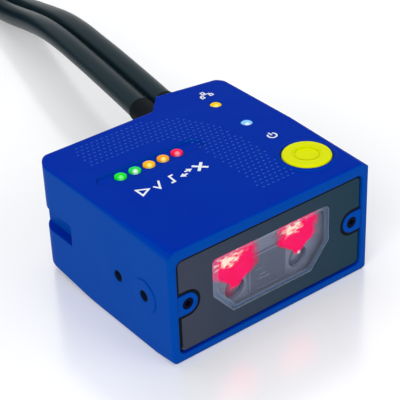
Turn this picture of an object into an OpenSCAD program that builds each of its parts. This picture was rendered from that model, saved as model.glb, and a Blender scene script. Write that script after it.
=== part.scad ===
// Fixed barcode reader: a die-cast imager with a front window, lights and a button on top, and two leads.
// Frame: +X to the right seen from the window side, the window looks along -Y, +Z is up, millimetres.
// The origin is the middle of the underside.

/* [Housing] */
// Width across the sides
body_w = 50.5; // [48:0.5:60]
// Depth from the front frame to the rear wall
body_d = 45.6; // [44:0.2:60]
// Height
body_h = 25.5; // [25:0.1:30]
// Thickness of the top wall
top_wall = 2.5; // [2.2:0.1:3]
// Thickness of the side walls
side_wall = 3; // [2.6:0.1:3.6]
// Thickness of the rear wall
rear_wall = 2.5; // [2:0.1:3.5]
// Thickness of the floor round the service hatch
floor_t = 3; // [2.8:0.1:3.2]
// Radius of the upright rear corners
rear_r = 5.4; // [4:0.1:6.5]
// Radius of the upright front corners
front_r = 0.5; // [0.3:0.1:1]
// Radius along the side edges, at the top and at the underside
side_r = 0.5; // [0.3:0.1:1]
// Size of the top side edges' rounding at the front, where it is widest
nose_r = 2.5; // [1.5:0.1:3]
// Length over which it fades out
nose_len = 30; // [24:0.5:34]
// Size of the lower side edges' rounding at the front
foot_r = 1.5; // [1:0.1:1.8]
// Length over which it fades out
foot_len = 8; // [6:0.5:12]
// Radius along the rear top edge
edge_r = 1; // [0.5:0.1:1.4]
// Radius along the front top edge
brow_r = 0.5; // [0.3:0.1:0.8]
// Length of the level part of the underside
flat_len = 24; // [20:0.5:30]
// How far the underside has risen at the rear wall
rear_rise = 2.1; // [0.5:0.1:3]
// How far each side draws in at the front
side_draw = 0.2; // [0.1:0.05:0.4]
// Length over which the sides draw in
draw_len = 24; // [20:0.5:28]

/* [Outlet block] */
// How far the outlet block stands behind the rear wall
outlet_len = 4.9; // [3.5:0.1:7]
// Width of the outlet block, from the right side
outlet_w = 20; // [18:0.5:24]
// Width of its slanted flank
outlet_flank = 4.6; // [3:0.1:5]
// Turn of its rear face
outlet_slant = 9.5; // [0:0.5:14]

/* [Window] */
// Width of the frame at each side of the window
rim_side = 1.9; // [1.5:0.1:2.5]
// Height of the frame under the window
rim_bottom = 1.5; // [1.2:0.1:2]
// Height of the frame over the window
rim_top = 2.35; // [2:0.05:2.8]
// Corner radius of the window recess
win_r = 1.5; // [0.8:0.1:2]
// Depth of the window plate below the frame
plate_sink = 0.3; // [0.1:0.05:0.6]
// Thickness of the window plate
plate_t = 1.2; // [1:0.1:1.6]
// Gap round the window plate
plate_gap = 0.6; // [0.4:0.05:0.7]
// Thickness of the window seal
seal_t = 0.5; // [0.3:0.1:0.8]
// Width of the ledge behind the window seal
ledge_w = 2.35; // [2:0.05:2.6]
// Thickness of that ledge
ledge_t = 1.6; // [1.2:0.1:2]
// Width of the clear pane
pane_w = 29.4; // [26:0.2:31]
// Distance of the pane's top edge below the recess's top
pane_over = 3.7; // [3.2:0.05:4.5]
// Distance of the pane's bottom edge above the recess's bottom
pane_under = 4.1; // [3.6:0.05:5]
// Height of the pane's cut lower corners
pane_cut = 5.6; // [3:0.1:7]
// Width of the pane's bottom edge
pane_foot = 20; // [17:0.2:23]
// Width of the rim that holds the pane from behind
pane_lip = 0.7; // [0.4:0.1:1]
// Radius of the lugs beside the window
lug_r = 2.3; // [2.1:0.1:2.5]
// Distance of the lug screws from the recess side
lug_in = 2.55; // [2.4:0.05:2.8]
// Height of the lug screws over the window's middle
lug_rise = 0.3; // [-1:0.05:1.5]

/* [Optics] */
// Distance of the lens axis below the window's middle
lens_drop = 1.8; // [1.6:0.05:2]
// Width of the square aperture
aperture_w = 7.9; // [7:0.1:8.2]
// Height of the square aperture
aperture_h = 6.7; // [6.4:0.1:6.9]
// Half distance between the upper lamps
upper_x = 7.9; // [7.8:0.1:8.6]
// Height of the upper lamps over the window's middle
upper_rise = 3; // [2.9:0.05:3.3]
// Radius of the upper lamp wells
upper_r = 3.6; // [3.3:0.1:3.7]
// Half distance between the lower lamps
lower_x = 8.1; // [7.2:0.1:9]
// Distance of the lower lamps below the window's middle
lower_drop = 3.3; // [3.2:0.05:3.6]
// Radius of the lower lamp wells
lower_r = 2.4; // [2:0.1:2.5]
// Radius of the lens barrel
barrel_r = 2.9; // [2.6:0.1:3.1]
// Length of the lens barrel
barrel_len = 9.6; // [9:0.1:10]

/* [Lights and button] */
// Distance of the first status light from the left side
lights_x = 9.75; // [8:0.05:12]
// Distance of the status lights from the front
lights_y = 28.2; // [26:0.1:31]
// Distance between the status lights
light_pitch = 3.48; // [3.4:0.02:4]
// Radius of the light pipes
pipe_r = 1.25; // [1.1:0.05:1.45]
// Distance of the two single lights from the right side
single_x = 8.45; // [7:0.05:9.5]
// Distance of the network light from the front
network_y = 38.6; // [36:0.1:40]
// Distance of the button from the right side
button_x = 8.05; // [7.8:0.05:9]
// Distance of the button from the front
button_y = 9.8; // [9.4:0.05:11]
// Radius of the button
button_r = 5.1; // [4.8:0.05:5.4]
// Gap round the button
button_gap = 0.25; // [0.2:0.05:0.35]
// Height of the button over the top
button_rise = 0.5; // [0.2:0.05:1]
// Travel of the button
button_travel = 0.5; // [0.3:0.05:0.55]

/* [Side mounts] */
// Distance of the first side hole from the front
hole_y = 8.25; // [7.8:0.05:9]
// Distance between the two side holes
hole_pitch = 8.5; // [7:0.1:10]
// Height of the side holes
hole_z = 12; // [11:0.1:13]
// Core radius of the threaded side holes
hole_r = 1.25; // [1:0.05:1.4]
// Depth of the side holes
hole_len = 4.5; // [3.5:0.1:4.6]
// Radius of the level pad round the front side hole
pad_r = 3.6; // [3:0.1:4]
// Length of the side grooves, from the rear wall
groove_len = 12.7; // [9:0.1:15]
// Lower edge of the side grooves
groove_z = 10.5; // [9:0.1:11.5]
// Height of the side grooves
groove_h = 5; // [4.5:0.1:6]
// Depth of the side grooves
groove_depth = 2; // [1.2:0.1:2.2]

/* [Leads] */
// Diameter of each lead
lead_d = 5.6; // [5.2:0.1:5.8]
// Distance between the leads at the outlet
lead_pitch = 6.2; // [6:0.1:6.6]
// Distance of the outlet's middle from the right side
outlet_x = 9.55; // [9.2:0.05:10]
// Height of the outlet's middle
outlet_z = 14; // [13:0.1:16]
// Length of the strain relief outside the housing
boot_len = 15; // [11:0.5:20]

/* [Hidden] */
$fn = 48;

// Amount by which a cutter passes the face that it cuts
past = 1;
// Free play between pieces that slip together
slip = 0.1;
// Sides of a screw socket
hex = 6;
// Turns of the flat cuts that together round an edge
round_turns = [22.5, 45, 67.5];
// Facets of a wide ring
ring_sides = 72;

// Main planes of the housing
front_y = -(body_d + outlet_len) / 2;
rear_y = front_y + body_d;
tail_y = -front_y;
side_x = body_w / 2;
draw_y = front_y + draw_len;
knee_y = front_y + flat_len;
base_slope = rear_rise / (body_d - flat_len);
function base_z(y) = max(0, (y - knee_y) * base_slope);

// Outlet block in plan, and the middle of its rear face
flank_x0 = side_x - outlet_w;
flank_x1 = flank_x0 + outlet_flank;
outlet_side_y = tail_y - (side_x - flank_x1) * tan(outlet_slant);
outlet_root_y = rear_y - rear_r - past;
outlet_r = 4.8;
flank_r = 1;
boot_x = side_x - outlet_x;
boot_y = tail_y - (boot_x - flank_x1) * tan(outlet_slant);

// Window stack, from the frame inwards
win_w = body_w - 2 * rim_side;
win_z0 = rim_bottom;
win_z1 = body_h - rim_top;
win_mid = (win_z0 + win_z1) / 2;
lug_z = win_mid + lug_rise;
optics_z = win_mid - lens_drop;
upper_z = win_mid + upper_rise;
lower_z = win_mid - lower_drop;
pane_top = win_z1 - pane_over;
pane_bottom = win_z0 + pane_under;
plate_y0 = front_y + plate_sink;
plate_y1 = plate_y0 + plate_t;
ledge_y = plate_y1 + seal_t;
cav_y0 = ledge_y + ledge_t;
lug_x = win_w / 2 - lug_in;
lug_gap = 0.7;
lug_sink = 0.2;
pane_t = 0.6;
pane_r = 1;

// Cavity of the housing
cav_x = side_x - side_wall;
cav_y1 = rear_y - rear_wall;
cav_z1 = body_h - top_wall;
board_t = 1;
hmi_drop = 2.4;
hmi_top = cav_z1 - hmi_drop;
hmi_z = hmi_top - board_t;
boss_end = 1;
boss_len = hole_len + boss_end;
boss_r = 2.6;

// Service hatch and cover in the underside
hatch_side = 1.25;
hatch_front = 2.05;
hatch_x = cav_x - hatch_side;
hatch_y0 = cav_y0 + hatch_front;
hatch_y1 = cav_y1 - hatch_side;
cover_lap = 1.25;
cover_gap = 0.15;
cover_t = 1.8;
gasket_t = 0.4;
column_r = 2.4;
column_in = 1.8;
column_front = 3.8;
column_x = hatch_x - column_in;
column_y = [hatch_y0 + column_front, hatch_y1 - column_in];
column_top = 6.3;
post_r = 1.8;

// Small fasteners: shank radius, head radius, head height
screw_r = 1;
screw_head_r = 1.7;
screw_head_h = 0.9;
screw_len = 3;
screw_sink = 0.2;
front_shank_r = 0.9;
front_head_r = 1.15;
front_head_h = 0.8;
front_head_y = front_y + lug_sink + front_head_h;
front_socket_r = 0.6;
socket_r = 0.78;
socket_depth = 0.6;

// Camera stack, from the ledge inwards
frame_play = 0.25;
frame_t = 1.9;
frame_y1 = cav_y0 + frame_t;
nose_back = 0.2;
frame_free = 0.4;
frame_nose_y = ledge_y + nose_back;
frame_z0 = floor_t + frame_free;
frame_top = hmi_z - frame_free;
lamp_board_y1 = frame_y1 + board_t;
lamp_board_in = 3.75;
lamp_board_x = cav_x - lamp_board_in;
barrel_back = 0.45;
barrel_y0 = frame_nose_y + barrel_back;
barrel_y1 = barrel_y0 + barrel_len;
holder_half = 6;
holder_r = 1;
holder_back = 1.75;
holder_y0 = lamp_board_y1 + holder_back;
image_gap = 1.5;
sensor_y0 = barrel_y1 + image_gap;
sensor_y1 = sensor_y0 + board_t;
sensor_x = 15;
chip_t = 0.9;
spacer_r = 1.3;
spacer_x = 13;
barrel_free = 0.4;
lens_r = 2.25;
lens_t = 1.2;
lens_sink = 0.4;
board_drop = 0.6;
board_z0 = frame_z0 + frame_free;
board_z1 = hmi_z - board_drop;
spacer_inset = 1.8;
nose_gap = 0.3;
aperture_r = 0.4;
lens_seat = 1.45;
lens_seat_y = frame_nose_y + lens_seat;
lens_edge = 0.6;
lens_crown = 0.55;
sensor_half = [3, 2.5];
holder_pocket = 4;
bore_r = 2;
// Lamps: half width, height of the base, radius of the dome
upper_lamp = [1.25, 0.5, 1.15];
lower_lamp = [0.8, 0.35, 0.7];

// Light and button board under the top wall
led_t = 0.7;
light_y = front_y + lights_y;
light_x = [for (i = [0:4]) -side_x + lights_x + i * light_pitch];
single = side_x - single_x;
net_light_y = front_y + network_y;
slot_depth = 0.35;
slot_r = 2.25;
slot_end = 5.3;
dome = 0.45;
light_rise = 0.3;
button_at = [side_x - button_x, front_y + button_y];
collar_w = 0.85;
collar_t = 0.6;
collar_free = 0.3;
switch_h = 1.9;
switch_half = 2.6;
switch_floor = 0.2;
plunger_r = 1.2;
plunger_top = cav_z1;
hmi_boss_r = 2;
hmi_screw_r = 0.8;
hmi_head_r = 1.4;
hmi_head_h = 0.8;
hmi_margin = 0.75;
tongue_free = 3;
hmi_reach = 10.95;
hmi_y0 = light_y - hmi_reach;
hmi_boss_in = [3.75, 7.8];
hmi_boss_off = [3, 3.85];
hmi_boss_x = [hmi_boss_in[0] - cav_x, single - hmi_boss_in[1]];
hmi_boss_y = [hmi_y0 + hmi_boss_off[0], cav_y1 - hmi_boss_off[1]];
hmi_boss_at = [for (x = hmi_boss_x, y = hmi_boss_y) [x, y]];
hmi_screw_free = 0.6;

// Electronics behind the camera stack
main_free = 5.05;
main_x = cav_x - main_free;
main_lift = 0.5;
main_z = column_top + main_lift;
main_top = main_z + board_t;
main_gap = [0.7, 0.85];
main_y0 = sensor_y1 + main_gap[0];
main_y1 = cav_y1 - main_gap[1];
post_in = 3.2;
post_off = [3.3, 4];
post_x = main_x - post_in;
post_y = [main_y0 + post_off[0], main_y1 - post_off[1]];
stack_h = 4.2;
io_z = main_top + stack_h;
io_top = io_z + board_t;
io_setback = 7.8;
io_y0 = main_y0 + io_setback;
stack_off = 1.6;
stack_y = [io_y0 + stack_off, post_y[1]];
chip_free = 0.5;
chip_off = 0.2;
chip_x = post_x - spacer_r - chip_free;
chip_y = io_y0 + chip_off;
processor_size = [13, 13, 1.3];
memory_size = [6, 10, 1];
plug_size = [18, 4];
plug_inset = 1;
transformer_size = [12, 8, 3.6];
transformer_inset = 3;
jack_size = [9, 4, 2.8];
jack_inset = [1, 0.6];
flex_r = 2.5;
flex_t = 0.3;
flex_w = 10;

// Strain relief
boot_r = 3.5;
boot_wall = 0.15;
boot_tip_r = lead_d / 2 + boot_wall;
boot_flange_r = 3.6;
boot_flange_t = 2.4;
boot_root = 5;
boot_fit_r = 3.3;

// Routes of the leads from the strain relief to the coil, points chosen by hand
lead_sides = 10;
power_route = [[15.12, 39.58, 14], [16.11, 45.49, 14], [17.7, 55, 13.9], [19.4, 65, 13.7],
    [21, 75, 13.5], [22.7, 85, 13], [24.4, 95, 11.8], [26.1, 105, 9.7], [27.7, 115, 7.2],
    [29.4, 125, 4.9], [31.1, 135, 3.3], [32.8, 145, 2.8], [34.4, 155, 3], [36.1, 165, 3.3],
    [37.7, 174.2, 3.5]];
network_route = [[21.23, 38.55, 14], [22.22, 44.47, 14], [24, 55, 13.9], [25.7, 65, 13.7],
    [27.3, 75, 13.4], [29, 85, 12.9], [30.7, 95, 11.6], [32.3, 105, 9.4], [34, 115, 6.9],
    [35.7, 125, 4.5], [37, 133, 3.4], [38.4, 142, 4.6], [39.4, 152, 8.7], [39.6, 161, 13.2],
    [38.8, 168, 15.1], [37.7, 174.2, 15.1]];
power_tail_route = [[-33.3, 180, 9.3], [-33.3, 172, 8.7], [-33.3, 164, 7.5], [-33.3, 156, 7.3]];
network_tail_route = [[-33.3, 180, 20.9], [-33, 172, 20.5], [-31.1, 163, 18.3], [-26.7, 153, 14.2],
    [-21.2, 143, 9.7], [-17.6, 134, 7.3], [-17.6, 126, 7.3]];

// Coils of the stored length, one on the other
coil_at = [2.8, 180];
turn_gap = 0.2;
turn_pitch = lead_d + turn_gap;
turn_r = 29.6;
turn_cols = 3;
turn_rows = 2;
coil_half = turn_cols * turn_pitch / 2;
coil_h = turn_rows * turn_pitch;
tie_t = 0.6;
tie_w = 8;
tie_free = 0.5;
tie_half = coil_half + tie_free;
tie_turn = 100;

// Circular connectors on the far ends
plug_r = 7.3;
plug_neck_r = 4;
plug_neck_len = 9;
plug_body_len = 17;
plug_body_r = 6.6;
nut_len = 12;
nut_gap = 0.4;
plug_nose_r = 4.6;
plug_nose_len = 13;
knurls = 24;
knurl_r = 0.55;

blue = "#0A3AA6";
black = "#15171A";
board_green = "#1E5B3A";
steel = "#B9BCC0";

// Plain helpers

function unit(v) = v / norm(v);
function towards(pts, i, step) = unit(pts[(i + len(pts) + step) % len(pts)] - pts[i]);
function half_turn(pts, i) = acos(towards(pts, i, -1) * towards(pts, i, 1)) / 2;
function cut_back(pts, rad, i) = rad[i] / tan(half_turn(pts, i));
function arc_mid(pts, rad, i) = pts[i]
    + unit(towards(pts, i, -1) + towards(pts, i, 1)) * rad[i] / sin(half_turn(pts, i));
function cut_corner(pts, rad, i) = rad[i] == 0 ? [pts[i]]
    : [for (step = [-1, 1]) pts[i] + towards(pts, i, step) * cut_back(pts, rad, i)];

// Polygon with a true arc at each corner that has a radius
module soft_polygon(pts, rad) {
    polygon([for (i = [0:len(pts) - 1]) each cut_corner(pts, rad, i)]);
    for (i = [0:len(pts) - 1])
        if (rad[i] > 0)
            translate(arc_mid(pts, rad, i)) circle(r = rad[i]);
}

// Rectangle from low corner to high corner with one corner radius
module soft_box(low, high, r) {
    soft_polygon([low, [high[0], low[1]], high, [low[0], high[1]]], [r, r, r, r]);
}

// Extrusion of an X-Z outline from y0 to y1
module along_y(y0, y1) {
    translate([0, y1, 0]) rotate([90, 0, 0]) linear_extrude(y1 - y0) children();
}

// Extrusion of a Y-Z outline from x0 to x1
module along_x(x0, x1) {
    translate([x0, 0, 0]) rotate([90, 0, 90]) linear_extrude(x1 - x0) children();
}

// Block given by two corners
module block(low, high) {
    translate(low) cube(high - low);
}

// The shape itself and its mirror image in the middle plane
module both_sides() {
    children();
    mirror([1, 0, 0]) children();
}

// Upright cylinder at a plan position
module rod(at, z0, z1, r) {
    translate([at[0], at[1], z0]) cylinder(r = r, h = z1 - z0);
}

// Cone along Y at an X-Z position
module cone_y(x, z, y0, y1, r, r_end) {
    translate([x, y0, z]) rotate([-90, 0, 0]) cylinder(r1 = r, r2 = r_end, h = y1 - y0);
}

// Cylinder along Y at an X-Z position
module rod_y(x, z, y0, y1, r) {
    translate([x, y0, z]) rotate([-90, 0, 0]) cylinder(r = r, h = y1 - y0);
}

// Upright disc whose top is crowned, with the given height over all
module crowned(r, h, crown) {
    ball_r = (r * r + crown * crown) / (2 * crown);
    rotate_extrude()
        intersection() {
            translate([0, h - ball_r]) circle(r = ball_r);
            square([r, h]);
        }
}

// The same disc on a plane across Y, crowned towards the window
module crowned_y(x, z, y, r, h, crown) {
    translate([x, y, z]) rotate([90, 0, 0]) crowned(r, h, crown);
}

// Frame at the middle of the outlet's rear face, +Y out of it
module at_outlet() {
    translate([boot_x, boot_y, outlet_z]) rotate([0, 0, -outlet_slant]) children();
}

// Outline round the two leads
module lead_pair(r) {
    square([lead_pitch, 2 * r], center = true);
    for (x = [-lead_pitch / 2, lead_pitch / 2])
        translate([x, 0]) circle(r = r);
}

// Housing

// Straight main block, rounded along its top and upright edges
module main_block() {
    intersection() {
        linear_extrude(body_h)
            soft_polygon([[side_draw - side_x, front_y], [side_x - side_draw, front_y], [side_x, draw_y],
                [side_x, rear_y], [-side_x, rear_y], [-side_x, draw_y]],
                [front_r, front_r, 0, rear_r, rear_r, 0]);
        along_y(front_y - past, rear_y + past)
            soft_box([-side_x, 0], [side_x, body_h], side_r);
        along_x(-side_x - past, side_x + past)
            soft_polygon([[front_y, -past], [rear_y, -past], [rear_y, body_h], [front_y, body_h]],
                [0, 0, edge_r, brow_r]);
    }
}

// Block behind the rear wall that carries the cable outlet
module outlet_block() {
    intersection() {
        linear_extrude(body_h)
            soft_polygon([[flank_x0, outlet_root_y], [side_x, outlet_root_y], [side_x, outlet_side_y],
                [flank_x1, tail_y], [flank_x0, rear_y]], [0, 0, outlet_r, flank_r, 0]);
        along_y(outlet_root_y - past, tail_y + past)
            soft_box([-side_x, 0], [side_x, body_h], side_r);
        translate([flank_x1, tail_y, 0]) rotate([0, 0, -outlet_slant])
            along_x(-body_w, body_w)
                soft_polygon([[-body_d, -past], [0, -past], [0, body_h], [-body_d, body_h]],
                    [0, 0, edge_r, 0]);
    }
}

// Flat cuts along the upper side edges that round them more and more towards the front
module edge_fade(r, fade_len) {
    both_sides()
        for (a = round_turns)
            translate([side_x, front_y + fade_len, 0])
                rotate([atan((sin(a) + cos(a) - 1) * r / fade_len), a, 0])
                    translate([-body_w / 2, -body_d, 0]) cube([body_w, body_d, body_h]);
}

// Wedge under the rising rear part of the underside, from a given level
module base_wedge(level, x) {
    along_x(-x, x)
        polygon([[knee_y, level], [tail_y + past, level + base_z(tail_y + past)],
            [tail_y + past, level - body_h], [knee_y, level - body_h]]);
}

// Room for the boards, with a floor that follows the underside
module cavity() {
    along_x(-cav_x, cav_x)
        polygon([[cav_y0, floor_t], [knee_y, floor_t], [cav_y1, floor_t + base_z(cav_y1)],
            [cav_y1, cav_z1], [cav_y0, cav_z1]]);
}

// Window recess outline, grown by m
module window_outline(m) {
    soft_box([-win_w / 2 - m, win_z0 - m], [win_w / 2 + m, win_z1 + m], max(win_r + m, win_r / 2));
}

// The two lugs beside the window, grown by m
module lug_outline(m) {
    for (s = [-1, 1]) {
        translate([s * lug_x, lug_z]) circle(r = lug_r + m);
        translate([s * (lug_x + lug_in / 2 + past / 2), lug_z])
            square([lug_in + past, 2 * (lug_r + m)], center = true);
    }
}

// Recess for the plate and the opening behind its ledge
module window_cut() {
    along_y(front_y - past, ledge_y)
        difference() {
            window_outline(0);
            lug_outline(0);
        }
    along_y(front_y - past, front_y + lug_sink) window_outline(0);
    along_y(ledge_y - past, cav_y0 + past)
        difference() {
            window_outline(-ledge_w);
            lug_outline(lug_gap);
        }
}

// Slab that follows the underside, between two heights over it
module base_slab(low, high, x, y0, y1) {
    along_x(-x, x)
        polygon([[y0, low], [knee_y, low], [y1, low + base_z(y1)], [y1, high + base_z(y1)],
            [knee_y, high], [y0, high]]);
}

// Hatch through the floor
module hatch_cut() {
    base_slab(0, floor_t + past, hatch_x, hatch_y0, hatch_y1);
}

// Pocket in the underside for the cover and its seal
module cover_pocket() {
    pocket = cover_lap + cover_gap;
    base_slab(-past, cover_t + gasket_t, hatch_x + pocket, hatch_y0 - pocket, hatch_y1 + pocket);
}

// Columns for the cover screws, tied to the side walls
module screw_columns() {
    both_sides()
        for (y = column_y) {
            rod([column_x, y], cover_t, column_top, column_r);
            block([column_x, y - column_r, cover_t], [cav_x + past, y + column_r, column_top]);
        }
}

// Bosses behind the side holes
module side_bosses() {
    both_sides()
        for (y = [hole_y, hole_y + hole_pitch])
            translate([side_x - boss_len, front_y + y, hole_z]) rotate([0, 90, 0])
                cylinder(r = boss_r, h = boss_len - side_wall + past);
}

// Level pads round the front side holes, where the sides draw in
module side_pads() {
    both_sides()
        translate([side_x - side_wall / 2, front_y + hole_y, hole_z]) rotate([0, 90, 0])
            cylinder(r = pad_r, h = side_wall / 2);
}

// Threaded side holes and the rear grooves
module side_cuts() {
    both_sides() {
        for (y = [hole_y, hole_y + hole_pitch])
            translate([side_x - hole_len, front_y + y, hole_z]) rotate([0, 90, 0])
                cylinder(r = hole_r, h = hole_len + past);
        along_x(side_x - groove_depth, side_x + past)
            translate([rear_y - groove_len, groove_z]) square([groove_len + outlet_len + past, groove_h]);
    }
}

// Openings in the top wall for the lights and the button
module top_cuts() {
    for (x = light_x)
        rod([x, light_y], cav_z1 - past, body_h + past, pipe_r + slip / 2);
    for (y = [net_light_y, light_y])
        rod([single, y], cav_z1 - past, body_h + past, pipe_r + slip / 2);
    translate([0, 0, body_h - slot_depth]) linear_extrude(slot_depth + past)
        soft_box([light_x[0] - slot_end, light_y - slot_r],
            [light_x[4] + slot_end + pipe_r, light_y + slot_r], slot_r - slip / 2);
    rod(button_at, cav_z1 - past, body_h + past, button_r + button_gap);
    rod(button_at, cav_z1 - collar_t - button_travel - collar_free, cav_z1,
        button_r + collar_w + button_gap);
}

// Low ring round the button
module button_ring() {
    ring_w = 0.8;
    ring_h = 0.25;
    ring_r = button_r + button_gap + ring_w;
    high = past + ring_h;
    translate([button_at[0], button_at[1], body_h - past])
        rotate_extrude()
            soft_polygon([[0, 0], [ring_r, 0], [ring_r, high], [0, high]], [0, 0, ring_h, 0]);
}

// Bosses under the top wall for the light and button board
module hmi_bosses() {
    for (at = hmi_boss_at)
        rod(at, hmi_top, cav_z1 + past, hmi_boss_r);
}

module housing() {
    color(blue)
    difference() {
        union() {
            difference() {
                union() {
                    main_block();
                    outlet_block();
                }
                base_wedge(0, body_w);
                translate([0, 0, body_h]) edge_fade(nose_r, nose_len);
                mirror([0, 0, 1]) edge_fade(foot_r, foot_len);
                cavity();
                hatch_cut();
            }
            screw_columns();
            side_bosses();
            side_pads();
            hmi_bosses();
            button_ring();
        }
        cover_pocket();
        window_cut();
        side_cuts();
        top_cuts();
        both_sides()
            for (y = column_y)
                rod([column_x, y], 0, base_z(y) + screw_sink + screw_head_h + screw_len + slip,
                    screw_r + slip / 2);
        for (at = hmi_boss_at)
            rod(at, hmi_top - past, cav_z1, hmi_screw_r + slip / 2);
        for (s = [-1, 1]) {
            rod_y(s * lug_x, lug_z, front_y - past, cav_y0 + past, front_shank_r + slip);
            rod_y(s * lug_x, lug_z, front_y - past, front_head_y + slip, front_head_r + slip);
        }
        at_outlet() along_y(-rear_wall - outlet_len - past, past) lead_pair(boot_fit_r + slip);
    }
}

// Service cover in the underside, with posts for the main board
module base_cover() {
    color(blue)
    difference() {
        union() {
            base_slab(0, cover_t, hatch_x + cover_lap, hatch_y0 - cover_lap, hatch_y1 + cover_lap);
            both_sides()
                for (y = post_y)
                    rod([post_x, y], cover_t / 2 + base_z(y), main_z, post_r);
        }
        both_sides()
            for (y = column_y) {
                rod([column_x, y], -past, main_z, screw_r + slip);
                rod([column_x, y], -past, base_z(y) + screw_sink + screw_head_h, screw_head_r + slip);
            }
    }
}

module base_gasket() {
    color(black)
    difference() {
        base_slab(cover_t, cover_t + gasket_t, hatch_x + cover_lap, hatch_y0 - cover_lap,
            hatch_y1 + cover_lap);
        base_slab(0, floor_t + past, hatch_x + slip, hatch_y0 - slip, hatch_y1 + slip);
    }
}

module cover_screws() {
    color(steel)
    both_sides()
        for (y = column_y) {
            z = base_z(y) + screw_sink;
            difference() {
                rod([column_x, y], z, z + screw_head_h, screw_head_r);
                translate([column_x, y, z - past])
                    cylinder(r = socket_r, h = past + socket_depth, $fn = hex);
            }
            rod([column_x, y], z + screw_head_h, z + screw_head_h + screw_len, screw_r);
        }
}

// Window

// Corners of the clear pane, moved outwards by m
function pane_points(m) = let(
        run = pane_w / 2 - pane_foot / 2,
        drop = pane_cut,
        nx = drop / norm([run, drop]),
        nz = run / norm([run, drop]),
        x1 = pane_w / 2 + m,
        z1 = pane_bottom + pane_cut - m * (1 - nx) / nz,
        x2 = pane_foot / 2 + m * (1 - nz) / nx,
        z2 = pane_bottom - m)
    [[-x2, z2], [x2, z2], [x1, z1], [x1, pane_top + m], [-x1, pane_top + m], [-x1, z1]];

module pane_outline(m, r) {
    soft_polygon(pane_points(m), [r / 2, r / 2, r / 2, r, r, r / 2]);
}

module window_plate() {
    color("#3B3F47")
    difference() {
        along_y(plate_y0, plate_y1)
            difference() {
                window_outline(-plate_gap);
                lug_outline(lug_gap);
                pane_outline(slip, pane_r);
            }
        along_y(plate_y0 + pane_t, plate_y1 + past) pane_outline(pane_lip + slip, pane_r);
    }
}

module window_pane() {
    color("#6B7686", 0.45) {
        along_y(plate_y0, plate_y0 + pane_t) pane_outline(0, pane_r);
        along_y(plate_y0 + pane_t, plate_y1) pane_outline(pane_lip, pane_r);
    }
}

module window_gasket() {
    color(black)
    along_y(plate_y1, ledge_y)
        difference() {
            window_outline(-plate_gap - slip);
            window_outline(-ledge_w + slip);
            lug_outline(lug_gap);
        }
}

module front_screws() {
    color(black)
    for (s = [-1, 1])
        difference() {
            union() {
                rod_y(s * lug_x, lug_z, front_y + lug_sink, front_head_y, front_head_r);
                rod_y(s * lug_x, lug_z, front_head_y, frame_y1 - slip, front_shank_r);
            }
            translate([s * lug_x, front_y + lug_sink - past, lug_z]) rotate([-90, 0, 0])
                cylinder(r = front_socket_r, h = past + socket_depth, $fn = hex);
        }
}

// Camera stack

module aperture_outline(m) {
    half = [aperture_w / 2 + m, aperture_h / 2 + m];
    soft_box([-half[0], optics_z - half[1]], [half[0], optics_z + half[1]], aperture_r);
}

// Dark moulding behind the pane: a plate with a nose that fills the window opening
module optics_frame() {
    rim = 0.8;
    rim_h = 0.45;
    step = 0.5;
    nose_x = lug_x - lug_r - lug_gap - nose_gap;
    color("#2C2F35")
    difference() {
        union() {
            along_y(cav_y0, frame_y1)
                square_between([-cav_x + frame_play, frame_z0], [cav_x - frame_play, frame_top]);
            along_y(frame_nose_y, cav_y0 + slip)
                soft_box([-nose_x, win_z0 + ledge_w + nose_gap],
                    [nose_x, win_z1 - ledge_w - nose_gap], win_r);
            along_y(frame_nose_y - rim_h, cav_y0) aperture_outline(rim);
        }
        along_y(frame_nose_y - past, frame_y1 + past) aperture_outline(0);
        both_sides() {
            rod_y(upper_x, upper_z, frame_nose_y - past, frame_y1 + past, upper_r);
            rod_y(lower_x, lower_z, frame_nose_y - past, lens_seat_y, lower_r);
            rod_y(lower_x, lower_z, frame_nose_y, frame_y1 + past, lower_r - step);
            rod_y(lug_x, lug_z, cav_y0 - past, frame_y1 + past, front_shank_r + slip / 2);
        }
    }
}

// Rectangle from low corner to high corner
module square_between(low, high) {
    translate(low) square(high - low);
}

// Conical cups round the upper lamps
module upper_reflectors() {
    cup_sink = 0.25;
    cup_y0 = frame_nose_y + cup_sink;
    lip = 0.3;
    throat_r = 1.9;
    color("#C8CCD2")
    both_sides()
        difference() {
            rod_y(upper_x, upper_z, cup_y0, frame_y1, upper_r - slip);
            cone_y(upper_x, upper_z, cup_y0 - slip, frame_y1 + slip, upper_r - slip - lip, throat_r);
        }
}

// Lamp: square base and a clear dome, on the lamp board
module lamp(x, z, size) {
    half = size[0];
    base_h = size[1];
    dome_r = size[2];
    translate([x - half, frame_y1 - base_h, z - half]) cube([2 * half, base_h, 2 * half]);
    crowned_y(x, z, frame_y1 - base_h / 2, dome_r, base_h / 2 + dome_r, dome_r - slip);
}

module upper_leds() {
    color("#FF2A55")
    both_sides() lamp(upper_x, upper_z, upper_lamp);
}

module lower_leds() {
    color("#D8D4C4")
    both_sides() lamp(lower_x, lower_z, lower_lamp);
}

// Round lenses over the lower lamps: a disc with a crowned front
module lower_lenses() {
    color("#8A929C", 0.6)
    both_sides()
        crowned_y(lower_x, lower_z, lens_seat_y, lower_r - slip, lens_edge + lens_crown, lens_crown);
}

module illuminator_board() {
    color(board_green)
    difference() {
        along_y(frame_y1, lamp_board_y1)
            square_between([-lamp_board_x, board_z0], [lamp_board_x, board_z1]);
        rod_y(0, optics_z, frame_y1 - past, lamp_board_y1 + past, barrel_r + barrel_free);
    }
}

module lens_barrel() {
    color(black)
    difference() {
        rod_y(0, optics_z, barrel_y0, barrel_y1, barrel_r);
        rod_y(0, optics_z, barrel_y0 - past, barrel_y0 + lens_sink + lens_t, lens_r + slip / 2);
        rod_y(0, optics_z, barrel_y0, barrel_y1 + past, bore_r);
    }
}

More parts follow.
